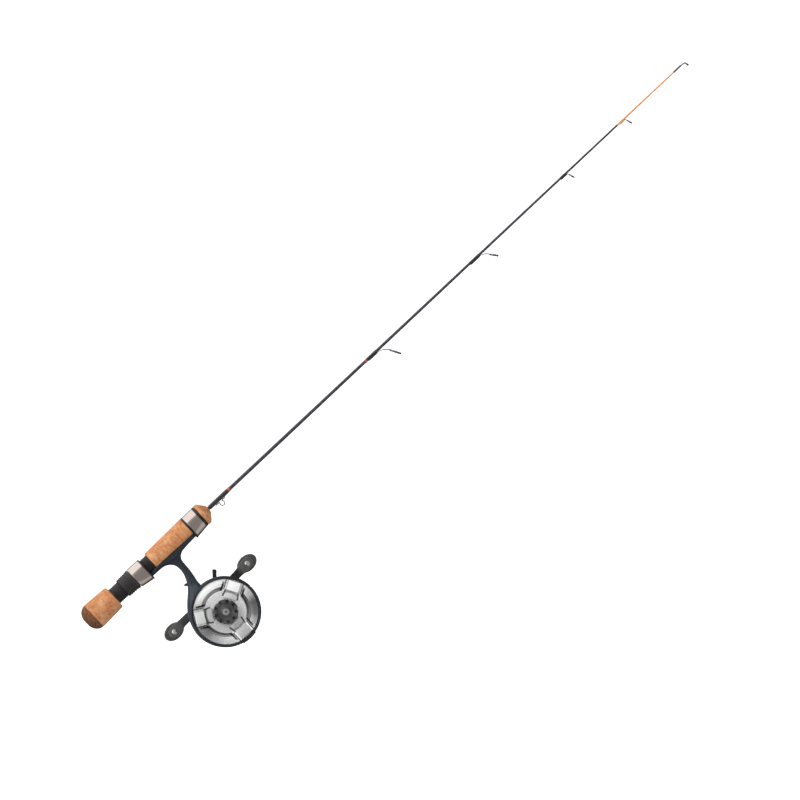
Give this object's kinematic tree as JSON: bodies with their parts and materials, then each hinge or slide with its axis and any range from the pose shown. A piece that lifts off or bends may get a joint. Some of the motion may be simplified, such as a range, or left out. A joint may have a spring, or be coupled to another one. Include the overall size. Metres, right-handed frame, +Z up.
{
  "type": "ice fishing rod",
  "caption": "Short fishing rod for fishing through ice, with cork grips, small line guides and a geared open-spool reel clamped under the handle.",
  "frame": {"origin": "centre of the butt cap's flat end, on the rod's axis", "axes": "+X along the rod from butt to tip; +Z up, with the reel hanging towards -Z; the spool opens towards -Y and the crank is on +Y"},
  "size_m": [0.7106, 0.0529, 0.1187],
  "materials": {
    "cork": "cork with fine filler, matte",
    "dark_cork": "dark cork composite, matte",
    "black_plastic": "satin",
    "silver_metal": "polished, slightly warm",
    "carbon": "carbon fibre under clear coat",
    "orange_tip": "high-visibility paint",
    "red_band": "thread under clear epoxy",
    "black_wrap": "thread under clear epoxy",
    "guide_metal": "dark plated wire",
    "guide_ceramic": "polished black ceramic",
    "steel": "plain",
    "brass": "machined",
    "frame_blue": "fine-textured blue-grey",
    "spool_alloy": "bright machined",
    "crank_grey": "dark anodised",
    "knob_grey": "soft-touch"
  },
  "bodies": {
    "rod": {"butt_cap": "dark_cork", "butt_grip": "cork", "seat_barrel": "black_plastic", "mid_grip": "cork", "front_hood": "silver_metal", "front_hood_rear_trim": "black_plastic", "front_hood_front_trim": "black_plastic", "nose_grip": "cork", "blank": "carbon", "tip_section": "orange_tip", "keeper_wrap": "black_wrap", "keeper_band": "red_band", "hook_keeper": "steel", "guide_1_band": "red_band", "guide_1_frame": "guide_metal", "guide_1_ring": "guide_ceramic", "guide_1_wrap": "black_wrap", "guide_2_frame": "guide_metal", "guide_2_ring": "guide_ceramic", "guide_2_wrap": "black_wrap", "guide_3_frame": "guide_metal", "guide_3_ring": "guide_ceramic", "guide_3_wrap": "black_wrap", "guide_4_frame": "guide_metal", "guide_4_ring": "guide_ceramic", "guide_4_wrap": "orange_tip", "tip_top_frame": "guide_metal", "tip_top_ring": "guide_ceramic", "reel_frame": "frame_blue", "lower_pillar": "black_plastic", "line_guard": "black_plastic", "gearbox_cover": "frame_blue", "cover_screw_1": "steel", "cover_screw_2": "steel", "cover_screw_3": "steel", "shaft_bush": "brass", "one_way_clutch": "steel", "drive_bearing": "steel", "trigger_pin": "steel", "switch_screw": "steel", "spool_axle": "steel"},
    "sliding_hood": {"rear_hood": "silver_metal", "rear_hood_trim": "black_plastic"},
    "lock_nut": {"seat_nut": "black_plastic"},
    "spool": {"spool": "spool_alloy", "spool_bearing_front": "steel", "spool_bearing_rear": "steel", "pinion_gear": "brass"},
    "tension": {"tension_knob": "black_plastic"},
    "drive": {"main_gear": "brass", "drive_shaft": "steel", "drag_wheel": "crank_grey", "crank_arm": "crank_grey", "crank_nut": "steel", "knob_axle_a": "steel", "knob_axle_b": "steel"},
    "paddle_a": {"knob_a": "knob_grey"},
    "paddle_b": {"knob_b": "knob_grey"},
    "release": {"trigger": "black_plastic"},
    "switch": {"anti_reverse_switch": "frame_blue"}
  },
  "joints": [
    {"name": "handle_spin", "type": "hinge", "parent": "rod", "child": "drive", "pos_m": [0.0943, 0, -0.0585], "axis": [0, 1, 0], "continuous": true},
    {"name": "spool_spin", "type": "hinge", "parent": "rod", "child": "spool", "pos_m": [0.0943, 0, -0.075], "axis": [0, 1, 0], "continuous": true},
    {"name": "knob_a_spin", "type": "hinge", "parent": "drive", "child": "paddle_a", "pos_m": [0.0512, 0, -0.0585], "axis": [0, 1, 0], "continuous": true},
    {"name": "knob_b_spin", "type": "hinge", "parent": "drive", "child": "paddle_b", "pos_m": [0.1374, 0, -0.0585], "axis": [0, 1, 0], "continuous": true},
    {"name": "tension_turn", "type": "hinge", "parent": "rod", "child": "tension", "pos_m": [0.0943, 0, -0.075], "axis": [0, -1, 0], "range_deg": [-180, 90]},
    {"name": "trigger_pull", "type": "hinge", "parent": "rod", "child": "release", "pos_m": [0.1052, 0, -0.0519], "axis": [0, -1, 0], "range_deg": [0, 18]},
    {"name": "switch_turn", "type": "hinge", "parent": "rod", "child": "switch", "pos_m": [0.0896, 0, -0.0374], "axis": [0, -1, 0], "range_deg": [0, 30]},
    {"name": "hood_slide", "type": "slide", "parent": "rod", "child": "sliding_hood", "axis": [1, 0, 0], "range_m": [-0.00991, 0]},
    {"name": "nut_turn", "type": "hinge", "parent": "sliding_hood", "child": "lock_nut", "pos_m": [0.0432, 0, 0], "axis": [1, 0, 0], "range_deg": [-2160, 0]}
  ],
  "couplings": [
    {"joint": "spool_spin", "follows": "handle_spin", "ratio": -2.6667},
    {"joint": "hood_slide", "follows": "nut_turn", "m_per_rad": 0.00026261}
  ]
}
